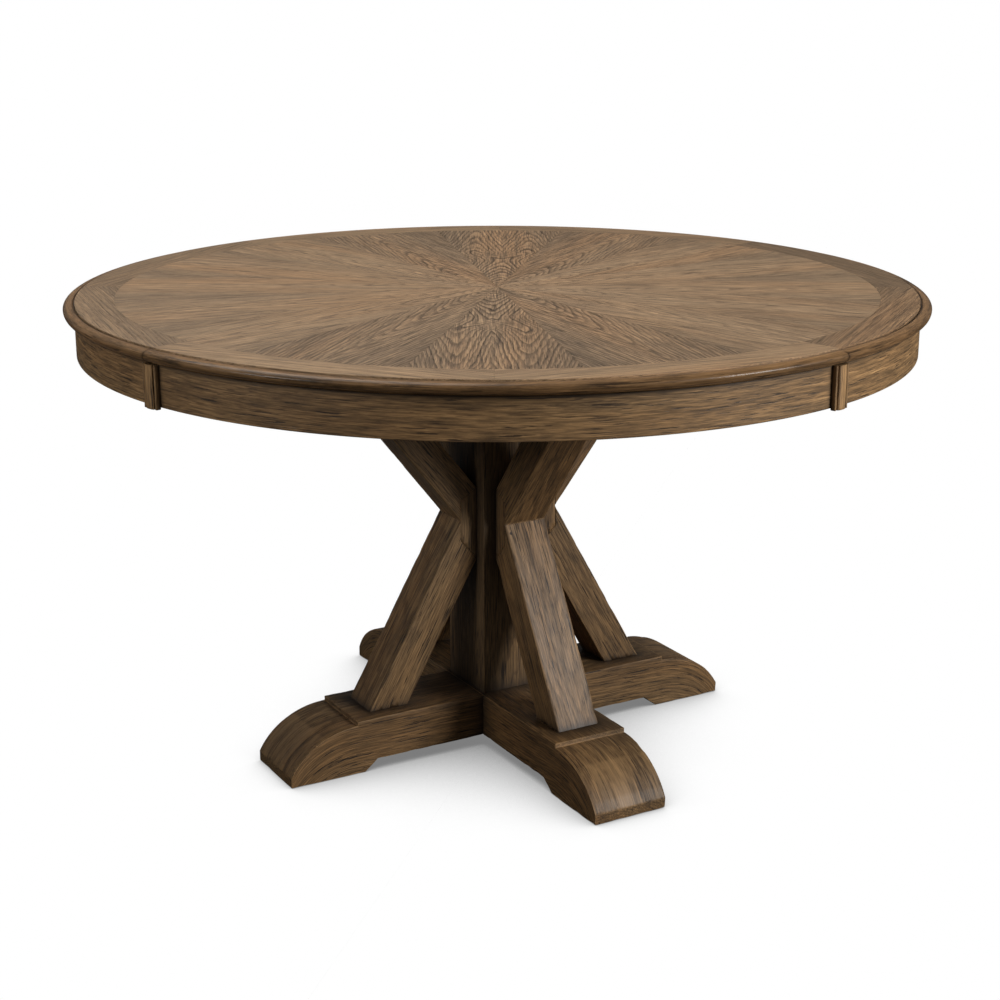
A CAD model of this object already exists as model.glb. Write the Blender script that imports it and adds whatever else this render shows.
"""A round pedestal dining table in weathered oak, on a white studio floor. Metres, +Z up."""

import math
import random

import bmesh
import bpy
import numpy as np
from mathutils import Matrix, Vector, noise
from mathutils.bvhtree import BVHTree


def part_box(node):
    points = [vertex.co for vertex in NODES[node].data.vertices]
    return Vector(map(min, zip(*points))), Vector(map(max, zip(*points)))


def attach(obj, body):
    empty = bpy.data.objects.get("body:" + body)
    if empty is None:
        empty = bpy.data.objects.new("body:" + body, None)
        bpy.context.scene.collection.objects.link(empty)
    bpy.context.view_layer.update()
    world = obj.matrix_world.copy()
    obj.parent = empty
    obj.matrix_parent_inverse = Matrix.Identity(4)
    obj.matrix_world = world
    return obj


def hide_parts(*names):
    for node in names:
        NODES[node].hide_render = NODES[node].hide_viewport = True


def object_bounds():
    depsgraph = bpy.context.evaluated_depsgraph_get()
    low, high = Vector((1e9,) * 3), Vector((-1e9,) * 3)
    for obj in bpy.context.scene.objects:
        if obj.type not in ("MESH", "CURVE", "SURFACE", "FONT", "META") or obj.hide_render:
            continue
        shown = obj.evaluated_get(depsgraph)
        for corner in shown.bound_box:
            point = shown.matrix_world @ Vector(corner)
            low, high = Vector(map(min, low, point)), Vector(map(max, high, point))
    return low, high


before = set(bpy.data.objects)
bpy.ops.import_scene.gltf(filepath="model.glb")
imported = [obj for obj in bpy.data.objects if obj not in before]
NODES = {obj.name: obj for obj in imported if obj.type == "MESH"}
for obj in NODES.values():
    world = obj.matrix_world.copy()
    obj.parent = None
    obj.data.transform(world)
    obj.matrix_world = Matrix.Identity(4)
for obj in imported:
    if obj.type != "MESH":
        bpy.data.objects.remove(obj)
CAD_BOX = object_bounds()

MM = 0.001
FULL_TURN = 2 * math.pi
random.seed(7)


def srgb(red, green, blue):
    """An 8-bit screen colour as the linear values that a shader takes."""
    channels = []
    for value in (red, green, blue):
        value /= 255
        channels.append(value / 12.92 if value <= 0.04045 else ((value + 0.055) / 1.055) ** 2.4)
    return (*channels, 1.0)


# ---------------------------------------------------------------- camera, light and floor

CAMERA_AZIMUTH = math.radians(-29.66)
CAMERA_DISTANCE = 3.052
CAMERA_HEIGHT = 1.310
CAMERA_PITCH = math.radians(16.55)
CAMERA_YAW = math.radians(-0.075)
LENS = 68.8
FLOOR_HALF = 80.0
FLOOR_GAP = 0.5 * MM


def towards(azimuth, distance, height):
    """A point in plan at an azimuth where 0 is in front of the table, looking along +Y."""
    return Vector((math.sin(azimuth) * distance, -math.cos(azimuth) * distance, height))


def make_camera():
    """Stands in front and to the left, a little above the top, and looks down at the table."""
    data = bpy.data.cameras.new("camera")
    data.lens = LENS
    data.sensor_width = 36
    camera = bpy.data.objects.new("camera", data)
    camera.location = towards(CAMERA_AZIMUTH, CAMERA_DISTANCE, CAMERA_HEIGHT)
    camera.rotation_euler = (math.pi / 2 - CAMERA_PITCH, 0, CAMERA_AZIMUTH + CAMERA_YAW)
    bpy.context.scene.collection.objects.link(camera)
    bpy.context.scene.camera = camera


def area_light(name, azimuth, distance, height, size, power, aim_height, spread=180):
    """A round lamp aimed at a height on the table's axis; spread narrows its beam, in degrees."""
    data = bpy.data.lights.new(name, "AREA")
    data.shape = "DISK"
    data.size = size
    data.energy = power
    data.spread = math.radians(spread)
    light = bpy.data.objects.new(name, data)
    light.location = towards(azimuth, distance, height)
    aim = Vector((0, 0, aim_height)) - light.location
    light.rotation_euler = aim.to_track_quat("-Z", "Y").to_euler()
    bpy.context.scene.collection.objects.link(light)


def make_lights():
    """A low soft key from the right, a large soft light overhead and a narrow one from the left."""
    right = CAMERA_AZIMUTH + math.radians(62)
    behind = CAMERA_AZIMUTH - math.radians(120)
    left = CAMERA_AZIMUTH - math.radians(55)
    area_light("key_light", right, distance=3.6, height=1.7, size=1.4, power=120, aim_height=0.35)
    area_light("top_light", behind, distance=1.2, height=3.4, size=2.6, power=54, aim_height=0.7)
    area_light("left_light", left, distance=3.6, height=2.2, size=1.6, power=7, aim_height=1.38, spread=45)


def make_world():
    """White behind the table, and a dim even glow on it."""
    world = bpy.data.worlds.new("studio")
    bpy.context.scene.world = world
    world.use_nodes = True
    tree = world.node_tree
    tree.nodes.clear()
    seen = tree.nodes.new("ShaderNodeBackground")
    seen.inputs["Strength"].default_value = 1.0
    glow = tree.nodes.new("ShaderNodeBackground")
    glow.inputs["Strength"].default_value = 0.155
    path = tree.nodes.new("ShaderNodeLightPath")
    mix = tree.nodes.new("ShaderNodeMixShader")
    out = tree.nodes.new("ShaderNodeOutputWorld")
    for shader in (seen, glow):
        shader.inputs["Color"].default_value = (1, 1, 1, 1)
    tree.links.new(path.outputs["Is Camera Ray"], mix.inputs[0])
    tree.links.new(glow.outputs[0], mix.inputs[1])
    tree.links.new(seen.outputs[0], mix.inputs[2])
    tree.links.new(mix.outputs[0], out.inputs["Surface"])


def make_floor():
    """A white floor that stays bright to the camera and darkens only close beside the feet."""
    mesh = bpy.data.meshes.new("floor")
    corners = [(x * FLOOR_HALF, y * FLOOR_HALF, 0) for x, y in ((-1, -1), (1, -1), (1, 1), (-1, 1))]
    mesh.from_pydata(corners, [], [(0, 1, 2, 3)])
    floor = bpy.data.objects.new("floor", mesh)
    floor.location.z = -FLOOR_GAP
    bpy.context.scene.collection.objects.link(floor)
    material = bpy.data.materials.new("floor_white")
    material.use_nodes = True
    tree = material.node_tree
    tree.nodes.clear()
    crevice = tree.nodes.new("ShaderNodeAmbientOcclusion")
    crevice.samples = 16
    crevice.inputs["Distance"].default_value = 0.3
    shade = tree.nodes.new("ShaderNodeMapRange")
    shade.inputs["From Min"].default_value = 0.2
    shade.inputs["From Max"].default_value = 0.92
    shade.inputs["To Min"].default_value = 0.2
    glow = tree.nodes.new("ShaderNodeEmission")
    grey = tree.nodes.new("ShaderNodeBsdfDiffuse")
    grey.inputs["Color"].default_value = (0.1, 0.1, 0.1, 1)
    path = tree.nodes.new("ShaderNodeLightPath")
    mix = tree.nodes.new("ShaderNodeMixShader")
    out = tree.nodes.new("ShaderNodeOutputMaterial")
    tree.links.new(crevice.outputs["AO"], shade.inputs["Value"])
    tree.links.new(shade.outputs[0], glow.inputs["Strength"])
    tree.links.new(path.outputs["Is Camera Ray"], mix.inputs[0])
    tree.links.new(grey.outputs[0], mix.inputs[1])
    tree.links.new(glow.outputs[0], mix.inputs[2])
    tree.links.new(mix.outputs[0], out.inputs["Surface"])
    mesh.materials.append(material)


bpy.context.scene.view_settings.view_transform = "Standard"
make_camera()
make_lights()
make_world()
make_floor()


# ---------------------------------------------------------------- shader helpers


class Tree:
    """Short ways to add the nodes that the wood and metal shaders are made of."""

    def __init__(self, tree):
        self.tree = tree

    def add(self, kind, inputs=(), **settings):
        node = self.tree.nodes.new(kind)
        for key, value in settings.items():
            setattr(node, key, value)
        for key, value in dict(inputs).items():
            self.feed(node.inputs[key], value)
        return node

    def feed(self, socket, value):
        if isinstance(value, bpy.types.NodeSocket):
            self.tree.links.new(value, socket)
        else:
            socket.default_value = value

    def math(self, operation, *values, clamp=False):
        """One operation on numbers or on the outputs of other nodes."""
        node = self.add("ShaderNodeMath", operation=operation, use_clamp=clamp)
        for socket, value in zip(node.inputs, values):
            self.feed(socket, value)
        return node.outputs[0]

    def stretch(self, vector, scale):
        """Multiplies each part of a vector by a factor of its own."""
        node = self.add("ShaderNodeVectorMath", {0: vector, 1: scale}, operation="MULTIPLY")
        return node.outputs[0]

    def noise(self, vector, scale=1.0, detail=2.0, roughness=0.5):
        values = {"Vector": vector, "Scale": scale, "Detail": detail, "Roughness": roughness}
        return self.add("ShaderNodeTexNoise", values).outputs[0]

    def mix(self, factor, first, second, blend="MIX"):
        """Blends two colours."""
        node = self.add("ShaderNodeMix", data_type="RGBA", blend_type=blend)
        self.feed(node.inputs[0], factor)
        self.feed(node.inputs[6], first)
        self.feed(node.inputs[7], second)
        return node.outputs[2]

    def between(self, value, low, high, start=0.0, end=1.0):
        """Maps low..high smoothly to start..end and holds the ends."""
        node = self.add("ShaderNodeMapRange", interpolation_type="SMOOTHSTEP")
        for index, number in enumerate((value, low, high, start, end)):
            self.feed(node.inputs[index], number)
        return node.outputs[0]

    def curve(self, value, stops):
        """Maps 0..1 through stops, each a place and a level."""
        node = self.add("ShaderNodeValToRGB", {"Fac": value})
        elements = node.color_ramp.elements
        while len(elements) < len(stops):
            elements.new(0.5)
        for element, (place, level) in zip(elements, stops):
            element.position = place
            element.color = (level, level, level, 1)
        return node.outputs[0]

    def attribute(self, name, output):
        return self.add("ShaderNodeAttribute", attribute_name=name).outputs[output]


def new_material(name):
    material = bpy.data.materials.new(name)
    material.use_nodes = True
    material.node_tree.nodes.clear()
    return material, Tree(material.node_tree)


# ---------------------------------------------------------------- wood


# How open the wood is through one year, from one ring's early wood to the next.
YEAR = [(0, 0.85), (0.16, 1), (0.42, 0.35), (0.7, 0), (0.92, 0.05), (1, 0.85)]


def scaled(colour, *factors):
    """A colour times one factor, or times one for each channel."""
    if len(factors) == 1:
        factors *= 3
    return [min(1, c * factor) for c, factor in zip(colour, factors)] + [1]


def oak(
    name, light, dark, glaze, ring=6.0, taper=0.05, figure=0.5, wave=1.0, short=1.0, fibre=0.5, streak=0.5,
    checks=0.5, patina=0.5, wear=0.5, gloss=0.45, shine=0.36, coat=0.1, splits=(), leaves=False,
):
    """Open-grained oak with dark glaze in its pores, its joints and its hollows.

    Each piece carries its own grain coordinates in metres: x along the fibres, and y and z
    measured from the heart of the tree, so that rings, cathedrals and end grain follow the cut.
    ring is the width of a year in millimetres and taper how fast the trunk narrows; figure, fibre,
    streak and checks set how strongly rings, fibres, broad streaks and fine cracks are drawn, and
    short how broken these are along the grain. splits are larger dark shakes and knots, each a
    middle and a half-size on the standing table. leaves is for the face, where cut tells how far
    out along its leaf a point is, how boldly the leaf is figured and how dark it is; there taper is
    the growth over a whole leaf, fastest near its tip.
    """
    material, t = new_material(name)
    grain = t.attribute("grain", "Vector")
    edge = t.attribute("edge", "Fac")
    seam = t.attribute("seam", "Fac")
    parts = t.add("ShaderNodeSeparateXYZ", {0: grain}).outputs

    # Growth rings: distance from the heart, drawn in along the trunk and made uneven.
    across = t.stretch(grain, (0, 1, 1))
    radius = t.add("ShaderNodeVectorMath", {0: across}, operation="LENGTH").outputs["Value"]
    drawn = t.math("MULTIPLY_ADD", parts[0], taper, radius)
    shown = figure
    if leaves:
        # Beyond the middle of a bold leaf the heart lies twice over, on both sides of its line.
        cut = t.add("ShaderNodeSeparateXYZ", {0: t.attribute("cut", "Vector")}).outputs
        fork = t.math("GREATER_THAN", cut[1], 0.9)
        spread = t.math("MULTIPLY", fork, t.between(cut[0], 0.4, 0.6, 0.0, 50 * MM))
        beside = t.math("SUBTRACT", t.math("ABSOLUTE", parts[1]), spread)
        squares = t.math("MULTIPLY_ADD", parts[2], parts[2], t.math("MULTIPLY", beside, beside))
        opening = t.math("MULTIPLY", t.math("SQRT", cut[0]), taper)
        drawn = t.math("ADD", t.math("SQRT", squares), opening)
        shown = t.math("MULTIPLY", cut[1], figure)
    slow = t.noise(t.stretch(grain, (4.5, 15, 15)), detail=1.0)
    quick = t.noise(t.stretch(grain, (24, 68, 68)), detail=2.0)
    swayed = t.math("MULTIPLY_ADD", slow, 36 * MM * wave, drawn)
    ragged = t.math("MULTIPLY_ADD", quick, 14 * MM * wave, swayed)
    phase = t.math("DIVIDE", ragged, ring * MM)
    year = t.math("FLOOR", phase)
    strength = t.add("ShaderNodeTexWhiteNoise", {"W": year}, noise_dimensions="1D").outputs["Value"]
    early = t.curve(t.math("FRACT", phase), YEAR)
    depth = t.math("MULTIPLY", early, t.math("MULTIPLY_ADD", strength, 0.55, 0.45))

    # Pores are short dark dashes, mostly in the early wood; fibres are a finer, fainter streak.
    flecked = t.stretch(grain, (short, 1, 1))
    pores = t.between(t.noise(t.stretch(grain, (45, 1100, 1100)), detail=1.0), 0.52, 0.68)
    open_pores = t.math("MULTIPLY", pores, t.math("MULTIPLY_ADD", depth, 0.75, 0.25))
    fibres = t.noise(t.stretch(flecked, (20, 520, 520)), detail=3.0, roughness=0.7)
    streaks = t.noise(t.stretch(flecked, (9, 140, 140)), detail=5.0, roughness=0.66)
    boards = t.noise(t.stretch(grain, (1.3, 9, 9)), detail=2.0)
    cracks = t.noise(t.stretch(flecked, (16, 350, 350)), detail=3.0, roughness=0.55)

    # Flat-cut wood is light and warm; where the rings stand on edge it is closer and greyer.
    aside = t.math("ABSOLUTE", parts[1])
    grey = scaled(light, 0.66, 0.68, 0.7)
    warm = scaled(light, 1.08, 0.97, 0.86)
    lit = t.mix(t.between(boards, 0.36, 0.66), light, warm)
    lit = t.mix(t.between(aside, 25 * MM, 105 * MM, 0.0, 0.75), lit, grey)
    lit = t.mix(t.between(streaks, 0.42, 0.72, 0.0, streak), lit, scaled(light, 0.5))
    lit = t.mix(t.between(streaks, 0.42, 0.26, 0.0, streak), lit, scaled(light, 1.4))
    figured = t.mix(t.math("MULTIPLY", depth, shown, clamp=True), lit, dark)
    tone = t.between(fibres, 0.28, 0.72, 1 - 0.45 * fibre, 1 + 0.4 * fibre)
    tones = t.add("ShaderNodeCombineXYZ", {0: tone, 1: tone, 2: tone}).outputs[0]
    fibrous = t.mix(1.0, figured, tones, "MULTIPLY")
    lines = t.between(cracks, 0.6, 0.645, 0.0, checks)
    pored = t.mix(t.math("MAXIMUM", lines, t.math("MULTIPLY", open_pores, 0.62)), fibrous, glaze)

    # Glaze left in corners and joints, and in soft patches over the face.
    patches = t.noise(t.stretch(flecked, (6.5, 34, 34)), detail=7.0, roughness=0.74)
    smears = t.math("MULTIPLY", t.between(patches, 0.48, 0.7), patina)
    corners = t.math("MULTIPLY", seam, t.between(patches, 0.2, 0.6, 0.75, 1.0))
    glazed = t.mix(t.math("MAXIMUM", smears, corners, clamp=True), pored, glaze)

    # Edges are rubbed pale where hands and brooms reach, and dotted with dark nicks.
    bare = t.math("MULTIPLY_ADD", patches, -0.9, t.math("ADD", edge, 0.4))
    rubbed = t.between(bare, 0.8, 1.05, 0.0, wear)
    worn = t.mix(rubbed, glazed, t.mix(0.55, pored, scaled(light, 1.6)))
    nicks = t.add("ShaderNodeTexVoronoi", {"Vector": t.stretch(grain, (38, 90, 90))}, feature="F1")
    rare = t.between(patches, 0.63, 0.68)
    dents = t.math("MULTIPLY", t.between(nicks.outputs["Distance"], 0.1, 0.18, 0.8, 0.0), rare)
    place = t.add("ShaderNodeTexCoord").outputs["Object"]
    frayed = t.noise(t.stretch(grain, (30, 300, 300)), detail=2.0)
    for middle, half in splits:
        offset = t.add("ShaderNodeVectorMath", {0: place, 1: middle}, operation="SUBTRACT").outputs[0]
        away = t.add("ShaderNodeVectorMath", {0: offset, 1: half}, operation="DIVIDE").outputs[0]
        far = t.add("ShaderNodeVectorMath", {0: away}, operation="LENGTH").outputs["Value"]
        dents = t.math("MAXIMUM", dents, t.between(t.math("ADD", far, frayed), 0.9, 1.5, 1.35, 0.0))
    colour = t.mix(t.math("MULTIPLY", dents, 0.7, clamp=True), worn, glaze)
    if leaves:
        colour = t.mix(cut[2], colour, t.mix(1.0, colour, srgb(176, 174, 172), "MULTIPLY"))

    hollow = t.math("ADD", t.math("MULTIPLY", open_pores, 0.5), t.math("MULTIPLY", depth, 0.3 * figure))
    sunk = t.math("MULTIPLY_ADD", fibres, -0.6 * fibre, lines)
    scored = t.math("ADD", t.math("ADD", hollow, dents), sunk)
    relief = t.math("SUBTRACT", 1.0, scored)
    bump = t.add("ShaderNodeBump", {"Strength": 0.45, "Distance": 0.3 * MM, "Height": relief})
    rough = t.math("MULTIPLY_ADD", open_pores, 0.2, t.between(patches, 0.3, 0.7, gloss, gloss + 0.12))
    surface = t.add(
        "ShaderNodeBsdfPrincipled",
        {"Base Color": colour, "Roughness": rough, "Normal": bump.outputs[0]},
    )
    surface.inputs["Specular IOR Level"].default_value = shine
    surface.inputs["Coat Weight"].default_value = coat
    surface.inputs["Coat Roughness"].default_value = 0.16
    t.add("ShaderNodeOutputMaterial", {"Surface": surface.outputs[0]})
    return material


GLAZE = srgb(38, 27, 15)
FIELD_OAK = oak(
    "field_oak", srgb(173, 143, 109), srgb(82, 63, 46), srgb(60, 45, 31), ring=6.8, taper=0.135,
    figure=1.0, wave=0.5, short=0.9, fibre=1.0, streak=0.85, checks=0.7, patina=0.25, gloss=0.52, coat=0,
    leaves=True,
)
BORDER_OAK = oak(
    "border_oak", srgb(191, 157, 119), srgb(104, 81, 57), srgb(66, 49, 32), ring=4.4, figure=0.6, wave=0.1,
    short=0.6, fibre=0.9, streak=0.7, checks=0.6, patina=0.25, gloss=0.52, coat=0, leaves=True,
)
EDGE_OAK = oak(
    "edge_oak", srgb(130, 98, 64), srgb(70, 50, 30), GLAZE, ring=4.5, taper=0.02, figure=0.5, wave=0.4,
    fibre=0.9, streak=0.9, checks=0.8, patina=0.85, wear=0.8, gloss=0.36, shine=0.12, coat=0.2,
)
APRON_OAK = oak(
    "apron_oak", srgb(150, 117, 78), srgb(76, 54, 32), GLAZE, ring=5.0, taper=0.03, figure=0.45, wave=0.5,
    fibre=1.2, streak=0.9, checks=0.9, patina=0.6,
)
POST_SHAKE = ((-24 * MM, -60 * MM, 122 * MM), (4 * MM, 30 * MM, 26 * MM))
BRACE_KNOT = ((-31 * MM, -97 * MM, 376 * MM), (4 * MM, 14 * MM, 3 * MM))
BASE_OAK = oak(
    "base_oak", srgb(130, 102, 68), srgb(62, 44, 26), GLAZE, ring=4.2, figure=0.5, wave=0.45, fibre=1.25,
    streak=0.7, checks=1.0, patina=0.55, wear=0.9, gloss=0.5, coat=0.03, splits=(POST_SHAKE, BRACE_KNOT),
)
HIDDEN_OAK = oak(
    "hidden_oak", srgb(164, 138, 106), srgb(120, 95, 66), srgb(90, 68, 44), figure=0.5, wave=0.6,
    patina=0.1, gloss=0.6,
)


# ---------------------------------------------------------------- mesh helpers

pieces = []


def inset(outline, distance):
    """Moves every side of an outline, listed either way round, inward by the same distance."""
    points = np.array(outline, float)
    ahead = np.roll(points, -1, axis=0) - points
    ahead /= np.linalg.norm(ahead, axis=1)[:, None]
    area = np.sum(points[:, 0] * np.roll(points[:, 1], -1) - np.roll(points[:, 0], -1) * points[:, 1])
    normal = np.stack([-ahead[:, 1], ahead[:, 0]], 1) * math.copysign(1, area)
    behind = np.roll(normal, 1, axis=0)
    half = normal + behind
    half /= np.sum(half * normal, axis=1)[:, None]
    return points + half * distance


def make_piece(name, mesh, material, grain, edge, glaze_reach):
    """Links a finished mesh, stores what its wood shader reads, and rides it on the frame.

    grain and edge hold a value for each vertex: its place in the tree, and how worn it is.
    """
    piece = bpy.data.objects.new(name, mesh)
    bpy.context.scene.collection.objects.link(piece)
    mesh.materials.append(material)
    mesh.polygons.foreach_set("use_smooth", [True] * len(mesh.polygons))
    mesh.set_sharp_from_angle(angle=math.radians(38))
    mesh.attributes.new("grain", "FLOAT_VECTOR", "POINT").data.foreach_set("vector", np.ravel(grain))
    mesh.attributes.new("edge", "FLOAT", "POINT").data.foreach_set("value", np.ravel(edge))
    mesh.attributes.new("seam", "FLOAT", "POINT")
    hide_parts(name)
    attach(piece, "root")
    pieces.append((piece, glaze_reach))
    return piece


def mesh_points(mesh):
    points = np.empty(len(mesh.vertices) * 3)
    mesh.vertices.foreach_get("co", points)
    return points.reshape(-1, 3)


def mesh_normals(mesh):
    normals = np.empty(len(mesh.vertices) * 3)
    mesh.vertices.foreach_get("normal", normals)
    return normals.reshape(-1, 3)


def bm_to_mesh(bm, name):
    bmesh.ops.recalc_face_normals(bm, faces=bm.faces)
    mesh = bpy.data.meshes.new(name)
    bm.to_mesh(mesh)
    bm.free()
    return mesh


def layered(name, layers):
    """A closed body through outlines of equal length, one above another, capped at both ends."""
    count = len(layers[0])
    bm = bmesh.new()
    rings = [[bm.verts.new(point) for point in layer] for layer in layers]
    for lower, upper in zip(rings, rings[1:]):
        for i in range(count):
            j = (i + 1) % count
            bm.faces.new((lower[i], lower[j], upper[j], upper[i]))
    bm.faces.new(rings[0])
    bm.faces.new(rings[-1])
    return bm_to_mesh(bm, name)


def arc(radius, start, end, steps):
    angles = np.linspace(start, end, steps + 1)
    return np.stack([radius * np.cos(angles), radius * np.sin(angles)], 1)


def turned_by(points, angle):
    rotation = np.array([[math.cos(angle), -math.sin(angle)], [math.sin(angle), math.cos(angle)]])
    return np.asarray(points) @ rotation.T


# ---------------------------------------------------------------- the face of the top

HEIGHT = CAD_BOX[1][2]
TOP_TURN = math.radians(15)
WEDGES = 16
BORDER_SEGMENTS = 8
QUARTERS = 4
FIELD_RADIUS = 607 * MM
FACE_RADIUS = 667.7 * MM
SEAM = 0.06 * MM
EASE = 0.12 * MM
LEAF_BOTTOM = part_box("sunburst_wedge_01")[0][2]
BOLD_LEAF = 2
LEAF_CUTS = ((1.0, 0.2), (0.75, 0.3), (0.45, 0.08))
BORDER_LENGTH = 100.0  # so long that its rings don't open along it
BORDER_DARKNESS = (0.4, 0.2, 0.5, 0.6, 0.1, 0.0, 0.75, 0.8)


def leaf(name, outline, centre_line, material, heart, offset, length, bold, dark, glaze_reach=0.0):
    """A face leaf with eased edges; its grain runs along centre_line, an angle in plan.

    heart gives the tree's centre beside the centre line and its height, and which way up the leaf
    lies. offset is how far along the trunk the leaf was cut, and length that over which its rings
    open. bold is how plainly its rings show, parting into two cathedrals at 1, and dark how much
    darker it is than its neighbours, both from 0 to 1.
    """
    shoulder = HEIGHT - EASE
    layers = []
    for points, height in (
        (outline, LEAF_BOTTOM),
        (outline, shoulder),
        (inset(outline, EASE), HEIGHT),
        (inset(outline, 2.5 * MM), HEIGHT),
    ):
        layers.append([(x, y, height) for x, y in points])
    mesh = layered(name, layers)
    points = mesh_points(mesh)
    local = turned_by(points[:, :2], -centre_line)
    grain = np.stack([local[:, 0] + offset, local[:, 1] * heart[2] - heart[0], points[:, 2] - heart[1]], 1)
    unworn = np.zeros(len(points))
    piece = make_piece(name, mesh, material, grain, unworn, glaze_reach)
    out = np.clip(local[:, 0] / length, 0, 1)
    cut = np.stack([out, np.full(len(points), bold), np.full(len(points), dark)], 1)
    piece.data.attributes.new("cut", "FLOAT_VECTOR", "POINT").data.foreach_set("vector", np.ravel(cut))


def make_field():
    """Sixteen crown-cut leaves, every second one turned over so that the figure meets at the seams."""
    turn = FULL_TURN / WEDGES
    blank = np.vstack([[(0, 0)], arc(FIELD_RADIUS, -turn / 2, turn / 2, 12)])
    blank = inset(blank, SEAM)
    for i in range(WEDGES):
        centre_line = TOP_TURN + i * turn
        mirror = -1 if i % 2 else 1
        from_bold = abs((i - BOLD_LEAF + WEDGES // 4) % (WEDGES // 2) - WEDGES // 4)
        bold, dark = LEAF_CUTS[min(from_bold, 2)]
        drift = 0 if from_bold == 0 else 14 * MM * math.sin(1.7 * i)
        heart = (drift - 6 * MM, HEIGHT - 13 * MM, mirror)
        leaf(
            f"sunburst_wedge_{i + 1:02d}",
            turned_by(blank, centre_line),
            centre_line,
            FIELD_OAK,
            heart,
            offset=0.37 * i,
            length=FIELD_RADIUS,
            bold=bold,
            dark=dark,
        )


def make_border():
    """Eight segments whose grain runs along the chord, mitred where they meet."""
    turn = FULL_TURN / BORDER_SEGMENTS
    inner = arc(FIELD_RADIUS, -turn / 2, turn / 2, 24)
    outer = arc(FACE_RADIUS + SEAM, turn / 2, -turn / 2, 24)
    blank = inset(np.vstack([inner, outer]), SEAM)
    for i in range(BORDER_SEGMENTS):
        middle = TOP_TURN + (i + 0.5) * turn
        chord = middle + math.pi / 2
        heart = (random.uniform(-0.75, -0.6), HEIGHT - random.uniform(0.08, 0.2), 1)
        leaf(
            f"border_segment_{i + 1}",
            turned_by(blank, middle),
            chord,
            BORDER_OAK,
            heart,
            offset=random.uniform(0, 9),
            length=BORDER_LENGTH,
            bold=0.8,
            dark=BORDER_DARKNESS[i],
            glaze_reach=1.6 * MM,
        )


# ---------------------------------------------------------------- mouldings and apron

RIM_RADIUS = 685.6 * MM
CORE_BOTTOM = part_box("top_core")[0][2]
APRON_RADIUS = 669 * MM
APRON_THICKNESS = 20 * MM
APRON_BOTTOM, APRON_TOP = (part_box("apron_1")[i][2] for i in (0, 1))
QUARTER_STEPS = 180


def swept(name, section, index, material, heart, edge_of, glaze_reach):
    """A quarter ring of a closed (radius, height) section, its ends eased by a hair.

    heart is the tree's centre as (radius, height), and edge_of tells how worn each point is.
    """
    turn = FULL_TURN / QUARTERS
    trim = SEAM / FACE_RADIUS
    start = TOP_TURN + index * turn + trim
    end = start + turn - 2 * trim
    ease = 0.5 * MM / FACE_RADIUS
    section = np.asarray(section)
    tucked = inset(section, 0.5 * MM)
    angles = [start, start + ease, *np.linspace(start, end, QUARTER_STEPS + 1)[1:-1], end - ease, end]
    layers = []
    for i, angle in enumerate(angles):
        ring = tucked if i in (0, len(angles) - 1) else section
        layers.append([(r * math.cos(angle), r * math.sin(angle), z) for r, z in ring])
    mesh = layered(name, layers)
    points = mesh_points(mesh)
    radius = np.hypot(points[:, 0], points[:, 1])
    # The angle is counted from just before the start, so that it never wraps inside the quarter.
    angle = (np.arctan2(points[:, 1], points[:, 0]) - start + 0.1) % FULL_TURN
    grain = np.stack([angle * FACE_RADIUS + 2.3 * index, radius - heart[0], points[:, 2] - heart[1]], 1)
    make_piece(name, mesh, material, grain, edge_of(points, radius), glaze_reach)


def curve_points(centre, size, start, end, steps):
    """Points on part of an ellipse, angles in degrees."""
    angles = np.radians(np.linspace(start, end, steps + 1))
    return [(centre[0] + size[0] * math.cos(a), centre[1] + size[1] * math.sin(a)) for a in angles]


def moulding_section():
    """Quirk beside the face, bullnose, fillet and cove, from the inner foot round to the inner top."""
    inner = FACE_RADIUS + 0.6 * MM
    foot = CORE_BOTTOM + 0.3 * MM
    quirk = HEIGHT - 1.8 * MM
    nose_low = HEIGHT - 16.5 * MM
    middle = (quirk + nose_low) / 2
    half = (quirk - nose_low) / 2
    cove_out = 680 * MM
    cove_in = 670 * MM
    cove_top = nose_low - 1.0 * MM
    cove = curve_points((cove_out, foot), (cove_in - cove_out, cove_top - foot), 0, 90, 10)
    under = curve_points((cove_out, middle), (RIM_RADIUS - cove_out, half), -90, 0, 10)
    crown_size = (RIM_RADIUS - 672 * MM, half)
    crown = curve_points((672 * MM, middle), crown_size, 0, 90, 14)[1:]
    ledge = [(671 * MM, quirk - 0.2 * MM), (inner + 1.6 * MM, quirk - 1.6 * MM), (inner, quirk - 1.8 * MM)]
    return [(inner, foot), *cove, *under, *crown, *ledge]


def make_mouldings():
    section = moulding_section()

    def edge_of(points, radius):
        """The crown of the nose is worn."""
        return np.clip((points[:, 2] - (HEIGHT - 10 * MM)) / (7 * MM), 0, 1) * (radius > 671.5 * MM)

    for i in range(QUARTERS):
        heart = (0.6, HEIGHT - 0.05)
        swept(f"edge_moulding_{i + 1}", section, i, EDGE_OAK, heart, edge_of, 1.8 * MM)


def apron_section():
    """A plain board with both lower corners eased, from its inner foot round to its inner top."""
    inner = APRON_RADIUS - APRON_THICKNESS
    ease = 1.6 * MM
    low = curve_points((APRON_RADIUS - ease, APRON_BOTTOM + ease), (ease, ease), -90, 0, 4)
    face = [(APRON_RADIUS, z) for z in np.linspace(APRON_BOTTOM + 5 * MM, APRON_TOP, 14)]
    inner_low = curve_points((inner + ease, APRON_BOTTOM + ease), (ease, ease), 180, 270, 3)
    return [*inner_low, *low, *face, (inner, APRON_TOP)]


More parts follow.
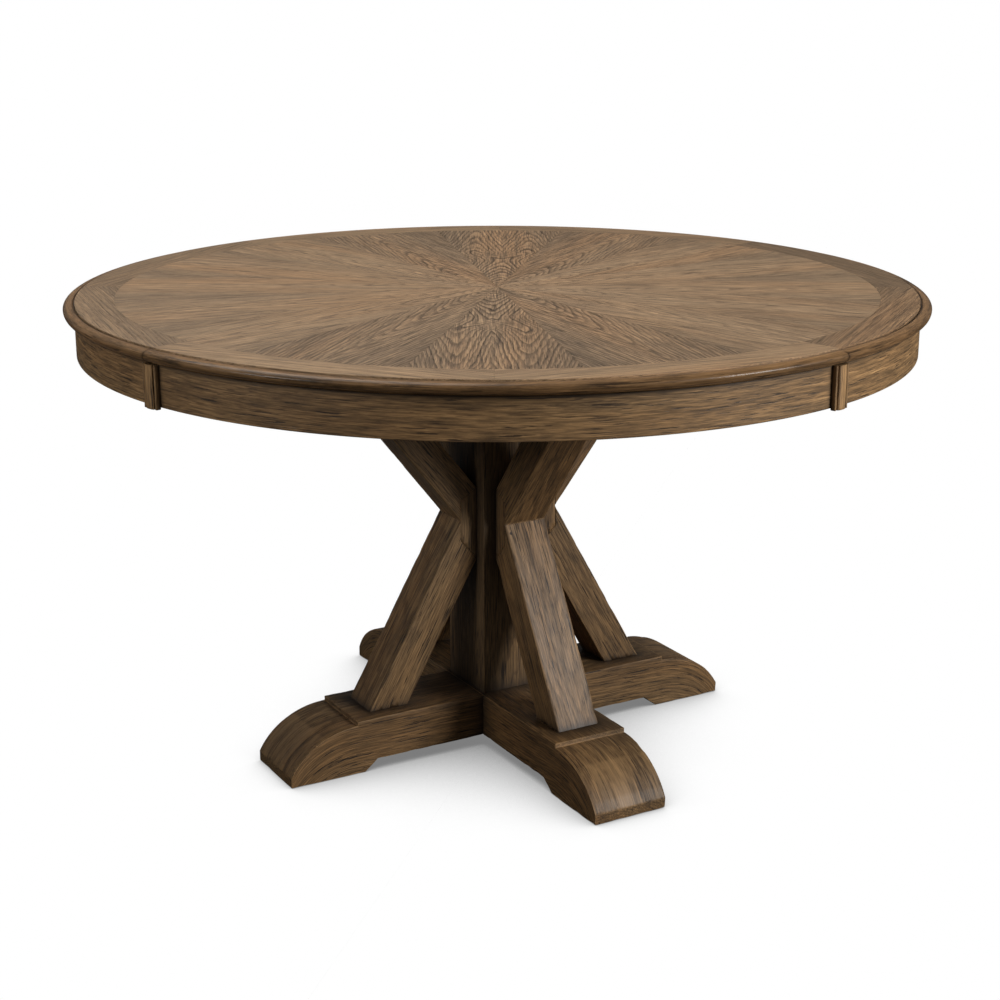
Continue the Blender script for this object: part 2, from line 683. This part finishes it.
def make_apron():
    section = apron_section()

    def edge_of(points, radius):
        """The lower corner is worn."""
        return np.exp(-(points[:, 2] - APRON_BOTTOM) / (3 * MM))

    for i in range(QUARTERS):
        heart = (0.6, random.uniform(0.6, 0.66))
        swept(f"apron_{i + 1}", section, i, APRON_OAK, heart, edge_of, 4.0 * MM)


# The reeded blocks: a bead, a groove, a broad rib, a groove and a bead.
BLOCK_HALF = 15 * MM
BEAD_HALF = 2.4 * MM
BEAD_DEPTH = 7.5 * MM
RIB_HALF = 9 * MM
RIB_DEPTH = 9.5 * MM
GROOVE_DEPTH = 5 * MM


def reed(middle, half, depth, steps, fullness=0.8):
    """Half an oval on the block's face; the lower the fullness, the squarer its shoulders."""
    angles = np.linspace(0, math.pi, steps + 1)
    rise = GROOVE_DEPTH + (depth - GROOVE_DEPTH) * np.sin(angles) ** fullness
    return [(r, middle - half * math.cos(a)) for r, a in zip(rise, angles)]


def make_blocks():
    """Four blocks over the joints of the apron, their feet tucked in by a hair."""
    bead_middle = BLOCK_HALF - BEAD_HALF
    outline = [
        (0, -BLOCK_HALF),
        *reed(-bead_middle, BEAD_HALF, BEAD_DEPTH, 8),
        *reed(0, RIB_HALF, RIB_DEPTH, 18, 0.4),
        *reed(bead_middle, BEAD_HALF, BEAD_DEPTH, 8),
        (0, BLOCK_HALF),
    ]
    outline = np.array(outline) + (APRON_RADIUS + 0.3 * MM, 0)
    (_, _, low), (_, _, high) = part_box("apron_block_1")
    heights = [low, low + 0.6 * MM, *np.linspace(low + 4 * MM, high - 1 * MM, 14), high]
    for i in range(QUARTERS):
        angle = TOP_TURN + i * FULL_TURN / QUARTERS
        plan = turned_by(outline, angle)
        tucked = inset(plan, 0.45 * MM)
        layers = [[(x, y, z) for x, y in (tucked if z == low else plan)] for z in heights]
        name = f"apron_block_{i + 1}"
        mesh = layered(name, layers)
        points = mesh_points(mesh)
        local = turned_by(points[:, :2], -angle)
        depth = local[:, 0] - APRON_RADIUS
        grain = np.stack([points[:, 2] + 1.7 * i, local[:, 1] - 0.03, local[:, 0] - 0.55], 1)
        edge = np.clip((depth - 7 * MM) / (2.5 * MM), 0, 1)
        make_piece(name, mesh, APRON_OAK, grain, edge, 4.0 * MM)


# ---------------------------------------------------------------- solid members

SLICE = 8 * MM
BEVEL = 1.6 * MM
GLAZE_REACH = 7 * MM
SHARP = math.radians(15)
CLOSE = 1.2 * MM
EDGE_FADE = 3 * MM
FACE_WEAR = 0.12 * MM
EDGE_WEAR = 1.5 * MM
TREAD_DROP = 12 * MM
DEPSGRAPH = bpy.context.evaluated_depsgraph_get()
CAD_TREES = {name: BVHTree.FromObject(node, DEPSGRAPH) for name, node in NODES.items()}


def sharp_edges(bm):
    """The edges that aren't just a seam between two flat parts of one face."""
    return [e for e in bm.edges if len(e.link_faces) == 2 and e.calc_face_angle(0) > SHARP]


def in_joint(name, edge):
    """Whether an edge lies closely against another piece all along."""
    places = [edge.verts[0].co.lerp(edge.verts[1].co, share) for share in (0.1, 0.5, 0.9)]
    others = [tree for other, tree in CAD_TREES.items() if other != name]
    return any(all(tree.find_nearest(place, CLOSE)[3] is not None for place in places) for tree in others)


def distance_to_edges(points, segments):
    nearest = np.full(len(points), 1.0)
    for start, end in segments:
        line = end - start
        along = np.clip((points - start) @ line / (line @ line), 0, 1)
        gap = np.linalg.norm(points - (start + along[:, None] * line), axis=1)
        nearest = np.minimum(nearest, gap)
    return nearest


def ease_edges(name, bm, bevel):
    """Rounds the edges that aren't hidden in a joint, and returns where they ran."""
    sharp = sharp_edges(bm)
    fitted = [e for e in sharp if in_joint(name, e)]
    free = [e for e in sharp if e not in fitted]
    segments = [(np.array(e.verts[0].co), np.array(e.verts[1].co)) for e in free]
    bmesh.ops.bevel(bm, geom=free, offset=bevel, segments=2, profile=0.6, affect="EDGES")
    return segments


def slice_up(bm, directions, size):
    """Divides the faces with planes a size apart, so that they can be made uneven."""
    for direction in directions:
        places = [v.co.dot(direction) for v in bm.verts]
        for place in np.arange(min(places) + 6 * MM, max(places) - 4 * MM, size):
            everything = bm.verts[:] + bm.edges[:] + bm.faces[:]
            bmesh.ops.bisect_plane(bm, geom=everything, plane_co=direction * place, plane_no=direction)


def weather(mesh, edge, shift):
    """Sinks the faces by a hair here and there, and chips the edges."""
    points = mesh_points(mesh)
    sunk = np.empty(len(points))
    for i, point in enumerate(points):
        place = Vector(point) + Vector((shift, shift, 0))
        face = noise.noise(place * 14) + 1
        chip = max(0.0, noise.noise(place * 45) + 0.25 * noise.noise(place * 160))
        sunk[i] = FACE_WEAR * face + EDGE_WEAR * edge[i] * chip
    points -= mesh_normals(mesh) * sunk[:, None]
    mesh.vertices.foreach_set("co", points.ravel())


def member(
    name, bm, axis, heart, material=BASE_OAK, bevel=BEVEL, slices=SLICE,
    reach=GLAZE_REACH, fall=None,
):
    """Turns a plain solid into a worked timber: eased and worn edges, and a slightly uneven face.

    axis is the direction of its fibres, and heart the tree's centre beside its own middle. slices is
    how finely its faces are divided, and reach how far glaze spreads from its joints. fall tells how
    far its top drops away along the fibres: its figure follows the drop, and shoes have worn it pale
    there.
    """
    bmesh.ops.remove_doubles(bm, verts=bm.verts, dist=0.01 * MM)
    bmesh.ops.dissolve_limit(bm, angle_limit=math.radians(0.5), verts=bm.verts, edges=bm.edges)
    bmesh.ops.recalc_face_normals(bm, faces=bm.faces)
    segments = ease_edges(name, bm, bevel)
    axis = Vector(axis).normalized()
    side = axis.cross(Vector((0, 0, 1)))
    side = Vector((1, 0, 0)) if side.length < 0.1 else side.normalized()
    across = axis.cross(side).normalized()
    slice_up(bm, (axis, side, across), slices)
    mesh = bm_to_mesh(bm, name)

    points = mesh_points(mesh)
    normals = mesh_normals(mesh)
    middle = (points.min(0) + points.max(0)) / 2
    gap = distance_to_edges(points, segments)
    edge = np.exp(-np.maximum(gap - CLOSE, 0) / EDGE_FADE) * min(1, bevel / BEVEL)
    shift = random.uniform(0, 9)
    weather(mesh, edge, shift)
    mesh.update()

    local = mesh_points(mesh) - middle
    along = local @ np.array(axis)
    if fall:
        drop = fall(along)
        local[:, 2] += drop
        trodden = np.clip(drop / TREAD_DROP, 0, 1) * (normals[:, 2] > 0.25)
        edge = np.maximum(edge, 0.98 * trodden)
    beside = local @ np.array(side) - heart[0]
    above = local @ np.array(across) - heart[1]
    grain = np.stack([along + shift, beside, above], 1)
    make_piece(name, mesh, material, grain, edge, reach)


def node_solid(name):
    bm = bmesh.new()
    bm.from_mesh(NODES[name].data)
    return bm


def prism(outline, width, angle):
    """An outline of (distance out, height), made `width` wide and turned to `angle` in plan."""
    bm = bmesh.new()
    near = [bm.verts.new((u, -width / 2, z)) for u, z in outline]
    far = [bm.verts.new((u, width / 2, z)) for u, z in outline]
    bm.faces.new(near)
    bm.faces.new(far)
    for i in range(len(outline)):
        j = (i + 1) % len(outline)
        bm.faces.new((near[i], near[j], far[j], far[i]))
    bmesh.ops.rotate(bm, verts=bm.verts, matrix=Matrix.Rotation(angle, 3, "Z"))
    return bm


# The foot cross.
BEAM_WIDTH = 130 * MM
BEAM_TOP = 90 * MM
BEAM_UNDERSIDE = 18.5 * MM
LAP = (BEAM_TOP + BEAM_UNDERSIDE) / 2
LAP_HALF = BEAM_WIDTH / 2 + 0.15 * MM
ARCH_HALF = 261 * MM
PAD_START = 284 * MM
TOE_TIP = 415 * MM
TOE_LIP = 17 * MM
TOE_STEP = 296 * MM
TOE_SHOULDER = 83 * MM
TOE_END = math.radians(24)

# A toe is part of an ellipse above TOE_BASE, with its top at the step.
TOE_BASE = (TOE_LIP - TOE_SHOULDER * math.sin(TOE_END)) / (1 - math.sin(TOE_END))
TOE_SIZE = ((TOE_TIP - TOE_STEP) / math.cos(TOE_END), TOE_SHOULDER - TOE_BASE)

# The arms, and how far their braces lean from upright.
ARMS = 4
LOWER_LEAN = math.radians(29.8)
UPPER_LEAN = math.radians(38.5)


def toe_fall(along):
    """How far the toe has dropped below its shoulder, so far along the beam from its middle."""
    out = np.clip((np.abs(along) - TOE_STEP) / TOE_SIZE[0], 0, 1)
    return TOE_SIZE[1] * (1 - np.sqrt(1 - out ** 2))


def beam_outline(notch):
    """A foot beam from the side, with its half of the lap cut into its top or its bottom."""
    toe = curve_points((TOE_STEP, TOE_BASE), TOE_SIZE, math.degrees(TOE_END), 90, 24)
    end = [(ARCH_HALF, BEAM_UNDERSIDE), (PAD_START, 0), (TOE_TIP, 0), *toe, (TOE_STEP, BEAM_TOP)]
    mirrored = [(-u, z) for u, z in reversed(end)]
    if notch == "top":
        lap = [(LAP_HALF, BEAM_TOP), (LAP_HALF, LAP), (-LAP_HALF, LAP), (-LAP_HALF, BEAM_TOP)]
        return [*end, *lap, *mirrored]
    lap = [(-LAP_HALF, BEAM_UNDERSIDE), (-LAP_HALF, LAP), (LAP_HALF, LAP), (LAP_HALF, BEAM_UNDERSIDE)]
    return [*end, *mirrored, *lap]


def make_foot():
    for name, notch, angle, axis, heart in (
        ("foot_beam_lower", "top", 0, (1, 0, 0), (0.02, 0.075)),
        ("foot_beam_upper", "bottom", math.pi / 2, (0, 1, 0), (-0.03, 0.07)),
    ):
        beam = prism(beam_outline(notch), BEAM_WIDTH, angle)
        member(name, beam, axis, heart, reach=28 * MM, fall=toe_fall)


def make_post():
    (_, _, low), (half, _, high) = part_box("centre_post")
    outline = [(-half, low), (half, low), (half, high), (-half, high)]
    post = prism(outline, 2 * half, 0)
    member("centre_post", post, (0, 0, 1), (0.03, 0.1), bevel=0.6 * MM, reach=32 * MM)


def make_arms():
    for arm in range(ARMS):
        angle = arm * FULL_TURN / ARMS
        out = Vector((math.cos(angle), math.sin(angle), 0))
        upright = Vector((0, 0, 1))
        down = out * math.sin(LOWER_LEAN) - upright * math.cos(LOWER_LEAN)
        up = out * math.sin(UPPER_LEAN) + upright * math.cos(UPPER_LEAN)
        for kind, axis, bevel in (
            ("hub_block", upright, 0.4 * MM),
            ("lower_brace", down, BEVEL),
            ("upper_brace", up, BEVEL),
        ):
            name = f"{kind}_{arm + 1}"
            heart = (random.uniform(-0.05, 0.05), random.uniform(0.05, 0.11))
            member(name, node_solid(name), axis, heart, bevel=bevel)


def make_bearers():
    for name, axis in (("top_bearer_lower", (1, 0, 0)), ("top_bearer_upper", (0, 1, 0))):
        solid = node_solid(name)
        member(name, solid, axis, (0.02, 0.09), HIDDEN_OAK, bevel=1 * MM, slices=30 * MM)


make_field()
make_border()
make_mouldings()
make_apron()
make_blocks()
make_foot()
make_post()
make_arms()
make_bearers()


# ---------------------------------------------------------------- glaze in the joints


def flush(first, second):
    """Whether two pieces are glued up level with each other, so that no glaze gathers between them."""
    arm = ("hub_block", "lower_brace", "upper_brace")
    face = ("sunburst_wedge", "border_segment")
    same_arm = first[-1] == second[-1] and first.startswith(arm) and second.startswith(arm)
    return same_arm or (first.startswith(face) and second.startswith(face))


def mark_seams():
    """Stores, for each vertex, how near it lies to another piece, for the glaze in the joints."""
    trees = []
    for piece, _ in pieces:
        mesh = piece.data
        points = mesh_points(mesh)
        polygons = [tuple(p.vertices) for p in mesh.polygons]
        tree = BVHTree.FromPolygons([tuple(p) for p in points], polygons)
        trees.append((tree, points.min(0), points.max(0), points))
    for i, (piece, reach) in enumerate(pieces):
        if reach == 0:
            continue
        _, low, high, points = trees[i]
        limit = 3 * reach
        gap = np.full(len(points), limit)
        for j, (tree, other_low, other_high, _) in enumerate(trees):
            if i == j or flush(piece.name, pieces[j][0].name):
                continue
            if np.any(other_low - limit > high) or np.any(other_high + limit < low):
                continue
            near = np.all((points > other_low - limit) & (points < other_high + limit), axis=1)
            for k in np.nonzero(near)[0]:
                found = tree.find_nearest(Vector(points[k]), limit)
                if found[3] is not None:
                    gap[k] = min(gap[k], found[3])
        values = np.exp(-gap / reach) * (gap < limit)
        piece.data.attributes["seam"].data.foreach_set("value", values)


mark_seams()


# ---------------------------------------------------------------- CAD pieces that stay


def board_material():
    """Pale particle board with its chips pressed flat."""
    material, t = new_material("core_board")
    place = t.add("ShaderNodeTexCoord").outputs["Object"]
    chips = t.add("ShaderNodeTexVoronoi", {"Vector": place, "Scale": 260.0}, feature="F1")
    cloud = t.noise(place, 9.0, 4.0)
    relief = chips.outputs["Distance"]
    pale = t.mix(relief, srgb(186, 160, 122), srgb(150, 122, 86))
    colour = t.mix(t.between(cloud, 0.35, 0.7, 0, 0.4), pale, srgb(128, 100, 68))
    bump = t.add("ShaderNodeBump", {"Strength": 0.3, "Distance": 0.2 * MM, "Height": relief})
    surface = t.add("ShaderNodeBsdfPrincipled", {"Base Color": colour, "Normal": bump.outputs[0]})
    surface.inputs["Roughness"].default_value = 0.85
    t.add("ShaderNodeOutputMaterial", {"Surface": surface.outputs[0]})
    return material


def steel_material():
    """Zinc-plated steel, brushed and a little dulled."""
    material, t = new_material("zinc_steel")
    place = t.add("ShaderNodeTexCoord").outputs["Object"]
    brushed = t.noise(t.stretch(place, (700, 700, 60)), detail=3.0)
    spangle = t.noise(place, 180.0, 2.0)
    colour = t.mix(t.between(spangle, 0.35, 0.65), srgb(188, 190, 192), srgb(156, 158, 162))
    rough = t.between(brushed, 0.3, 0.7, 0.28, 0.46)
    surface = t.add("ShaderNodeBsdfPrincipled", {"Base Color": colour, "Roughness": rough})
    surface.inputs["Metallic"].default_value = 1.0
    t.add("ShaderNodeOutputMaterial", {"Surface": surface.outputs[0]})
    return material


def dress(nodes, material):
    for name in nodes:
        materials = NODES[name].data.materials
        materials.clear()
        materials.append(material)


dress(["top_core"], board_material())
dress([name for name in NODES if name.startswith(("top_screw", "post_bolt"))], steel_material())
